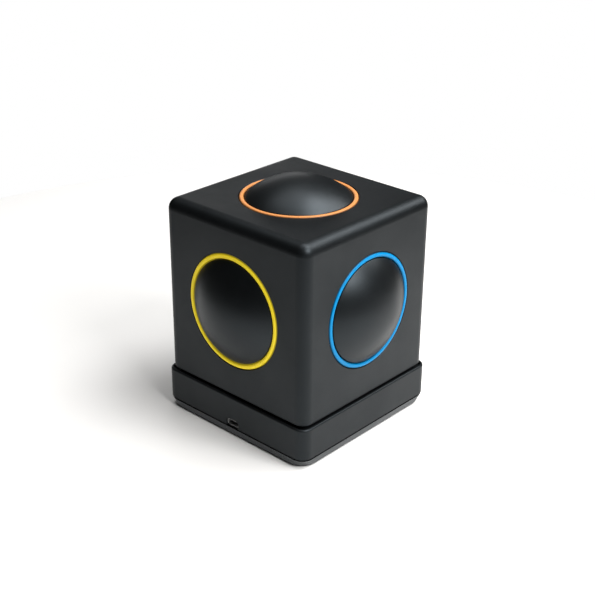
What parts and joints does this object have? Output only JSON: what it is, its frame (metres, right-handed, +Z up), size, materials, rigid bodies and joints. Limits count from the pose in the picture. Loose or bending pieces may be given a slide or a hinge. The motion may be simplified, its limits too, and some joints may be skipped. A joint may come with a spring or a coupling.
{
  "type": "tactile press-pad cube",
  "caption": "Desk-top tactile cube with sprung domed press pads in coloured rings on its top and sides, on a square electronics base.",
  "frame": {"origin": "centre of the square footprint, at the desk plane that the rubber feet stand on", "axes": "+Z up; -Y towards the face with the yellow ring and the USB socket; +X towards the face with the blue ring"},
  "size_m": [0.1094, 0.1094, 0.1211],
  "materials": {
    "soft_touch_black": "soft-touch coated moulding, satin matte",
    "pad_rubber": "smooth satin elastomer",
    "ring_yellow": "satin moulded plastic",
    "ring_blue": "satin moulded plastic",
    "ring_orange": "satin moulded plastic",
    "ring_red": "satin moulded plastic",
    "ring_green": "satin moulded plastic",
    "base_plate_black": "fine spark-eroded texture",
    "foot_rubber": "matte",
    "knob_black": "ribbed, satin",
    "inner_plastic": "plain moulded",
    "magnet_nickel": "nickel plated",
    "foam": "open-cell foam",
    "circuit_board": "green solder mask",
    "chip_black": "moulded epoxy",
    "screw_steel": "zinc plated",
    "flex_amber": "polyimide film",
    "socket_metal": "tin plated",
    "connector_white": "nylon",
    "battery_foil": "laminated foil pouch",
    "lead_red": "silicone sheath"
  },
  "bodies": {
    "housing": {"cube_shell": "soft_touch_black", "ring_front": "ring_yellow", "ring_right": "ring_blue", "ring_back": "ring_red", "ring_left": "ring_green", "ring_top": "ring_orange", "return_foam_front": "foam", "return_foam_right": "foam", "return_foam_back": "foam", "return_foam_left": "foam", "return_foam_top": "foam", "sensor_board_front": "circuit_board", "sensor_board_right": "circuit_board", "sensor_board_back": "circuit_board", "sensor_board_left": "circuit_board", "sensor_board_top": "circuit_board", "hall_sensors": "chip_black", "sensor_board_screws": "screw_steel", "core_frame": "inner_plastic", "core_screws": "screw_steel", "chassis_plate": "inner_plastic", "cube_screws": "screw_steel", "edge_flexes": "flex_amber", "main_ribbon": "flex_amber", "base_housing": "soft_touch_black", "bottom_plate": "base_plate_black", "rubber_feet": "foot_rubber", "bottom_screws": "screw_steel", "main_board": "circuit_board", "main_board_screws": "screw_steel", "usb_socket": "socket_metal", "microcontroller": "chip_black", "radio_module": "socket_metal", "ribbon_connector": "connector_white", "battery": "battery_foil", "battery_connector": "connector_white", "battery_lead": "lead_red", "power_switch_body": "chip_black"},
    "front_pad": {"pad_front": "pad_rubber", "plunger_front": "inner_plastic", "magnet_front": "magnet_nickel"},
    "right_pad": {"pad_right": "pad_rubber", "plunger_right": "inner_plastic", "magnet_right": "magnet_nickel"},
    "back_pad": {"pad_back": "pad_rubber", "plunger_back": "inner_plastic", "magnet_back": "magnet_nickel"},
    "left_pad": {"pad_left": "pad_rubber", "plunger_left": "inner_plastic", "magnet_left": "magnet_nickel"},
    "top_pad": {"pad_top": "pad_rubber", "plunger_top": "inner_plastic", "magnet_top": "magnet_nickel"},
    "power_switch": {"power_switch_knob": "knob_black"}
  },
  "joints": [
    {"name": "front_pad_press", "type": "slide", "parent": "housing", "child": "front_pad", "axis": [0, 1, 0], "range_m": [0, 0.004], "stiffness_N_per_m": 1800, "deforming": ["return_foam_front"]},
    {"name": "right_pad_press", "type": "slide", "parent": "housing", "child": "right_pad", "axis": [-1, 0, 0], "range_m": [0, 0.004], "stiffness_N_per_m": 1800, "deforming": ["return_foam_right"]},
    {"name": "back_pad_press", "type": "slide", "parent": "housing", "child": "back_pad", "axis": [0, -1, 0], "range_m": [0, 0.004], "stiffness_N_per_m": 1800, "deforming": ["return_foam_back"]},
    {"name": "left_pad_press", "type": "slide", "parent": "housing", "child": "left_pad", "axis": [1, 0, 0], "range_m": [0, 0.004], "stiffness_N_per_m": 1800, "deforming": ["return_foam_left"]},
    {"name": "top_pad_press", "type": "slide", "parent": "housing", "child": "top_pad", "axis": [0, 0, -1], "range_m": [0, 0.004], "stiffness_N_per_m": 1800, "deforming": ["return_foam_top"]},
    {"name": "power_switch_slide", "type": "slide", "parent": "housing", "child": "power_switch", "axis": [-1, 0, 0], "range_m": [0, 0.003]}
  ]
}
